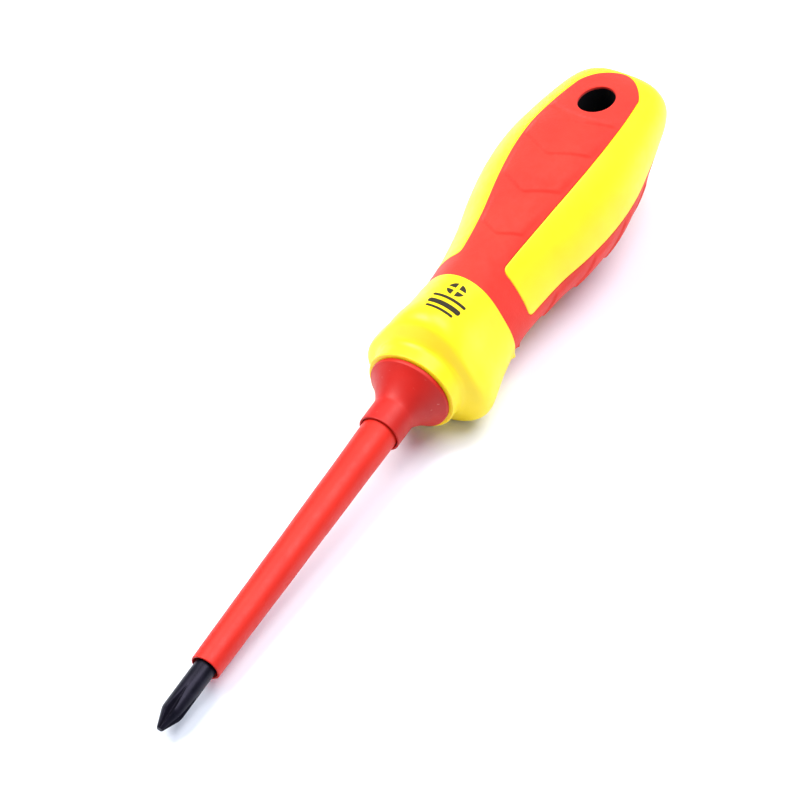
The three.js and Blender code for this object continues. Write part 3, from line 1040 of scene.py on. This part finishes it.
def floor_finish():
    """Pale, slightly cool matt surface."""
    finish = Finish("pale_table")
    cloud = finish.noise(3.0, detail=2.0)
    finish.feed("Base Color", finish.blend(cloud, (0.85, 0.885, 0.945), (0.87, 0.905, 0.965)))
    finish.set(Roughness=0.85, Specular_IOR_Level=0.1)
    finish.bump(finish.noise(900, detail=2.0, shift=2.0), 0.00002)
    return finish.material


# ---------------------------------------------------------------- stage

def make_floor(height):
    """A plain table top, at the height where the tool's lowest point touches it."""
    half, cells = 1.6, 8
    line = np.linspace(-half, half, cells + 1)
    x, y = np.meshgrid(line, line)
    points = np.stack([x, y, height + 0 * x], axis=-1)
    mesh = bpy.data.meshes.new("table")
    mesh.from_pydata(points.reshape(-1, 3).tolist(), [], grid_faces(cells + 1, cells + 1))
    floor = bpy.data.objects.new("table", mesh)
    bpy.context.scene.collection.objects.link(floor)
    floor.data.materials.append(floor_finish())
    floor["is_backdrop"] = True


def add_area_light(name, position, target, size, power, colour):
    light = bpy.data.lights.new(name, "AREA")
    light.shape = "DISK"
    light.size = size
    light.energy = power
    light.color = colour
    lamp = bpy.data.objects.new(name, light)
    bpy.context.scene.collection.objects.link(lamp)
    lamp.location = position
    direction = Vector(target) - Vector(position)
    lamp.rotation_euler = direction.to_track_quat("-Z", "Y").to_euler()


def light_scene():
    """A bright, slightly cool surround, and a soft key from the upper left of the view."""
    world = bpy.data.worlds.new("studio")
    world.use_nodes = True
    background = world.node_tree.nodes["Background"]
    background.inputs["Color"].default_value = (0.72, 0.79, 1.0, 1)
    background.inputs["Strength"].default_value = WORLD_STRENGTH
    bpy.context.scene.world = world
    add_area_light("key", (0.08, -0.48, 0.88), (0.0, 0.0, 0.0), 0.6, KEY_POWER, (1, 0.985, 0.95))
    add_area_light("top", (-0.30, 0.25, 0.85), (0.0, 0.0, 0.0), 0.7, TOP_POWER, (1, 1, 1))
    bpy.context.scene.view_settings.view_transform = "Standard"


def add_camera():
    """Looks down over the tip's left side, at the photograph's angle."""
    camera = bpy.data.cameras.new("camera")
    camera.lens = 112.5
    camera.sensor_width = 36.0
    camera.clip_start = 0.01
    eye = bpy.data.objects.new("camera", camera)
    bpy.context.scene.collection.objects.link(eye)
    eye.location = (0.33980, 0.19013, 0.40656)
    forward = Vector((-0.60443, -0.34691, -0.71716))
    roll = Matrix.Rotation(math.radians(0.455), 4, "Z")
    turn = forward.to_track_quat("-Z", "Y").to_matrix().to_4x4()
    eye.rotation_euler = (turn @ roll).to_euler()
    bpy.context.scene.camera = eye


# ---------------------------------------------------------------- assembly

def fit(piece, finish, slot, *nodes):
    """Gives a piece its material, and lets it stand for its CAD nodes."""
    piece.data.materials.clear()
    piece.data.materials.append(finish)
    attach(piece, "root")
    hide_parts(*nodes)


yellow = yellow_finish()
print_ink = ink_finish()

grip = make_grip()
rear_shell = make_rear_shell()
core = make_core()
for pierced in (grip, rear_shell, core):
    cut(pierced, liner_pocket(LINER_CLEARANCE))
    cut(pierced, hole_cutter())

fit(make_blade(), steel_finish(), "black_steel", "blade")
fit(make_sleeve(), sleeve_finish(), "red_sleeve", "blade_sleeve")
fit(make_nose_cone(), cone_finish(), "red_cone", "nose_cone")
dark_plastic_and_hole_shade = core_and_hole_shade_finish()
fit(core, dark_plastic_and_hole_shade, "core_plastic", "handle_core")
# The liner's dark plastic is painted shade for the inside of the hanging hole.
fit(make_hole_liner(), dark_plastic_and_hole_shade, "core_plastic", "handle_core")
fit(make_guard(), yellow, "yellow_plastic", "guard")
fit(rear_shell, yellow, "yellow_plastic", "rear_shell")
fit(grip, grip_finish(), "red_grip", "grip")
fit(make_disc_mark(), print_ink, "print_ink", "mark_disc")
for number, bar in enumerate(BARS, start=1):
    fit(make_bar_mark(number, bar), print_ink, "print_ink", f"mark_bar_{number}")

make_floor(height=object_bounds()[0][2])
light_scene()
add_camera()
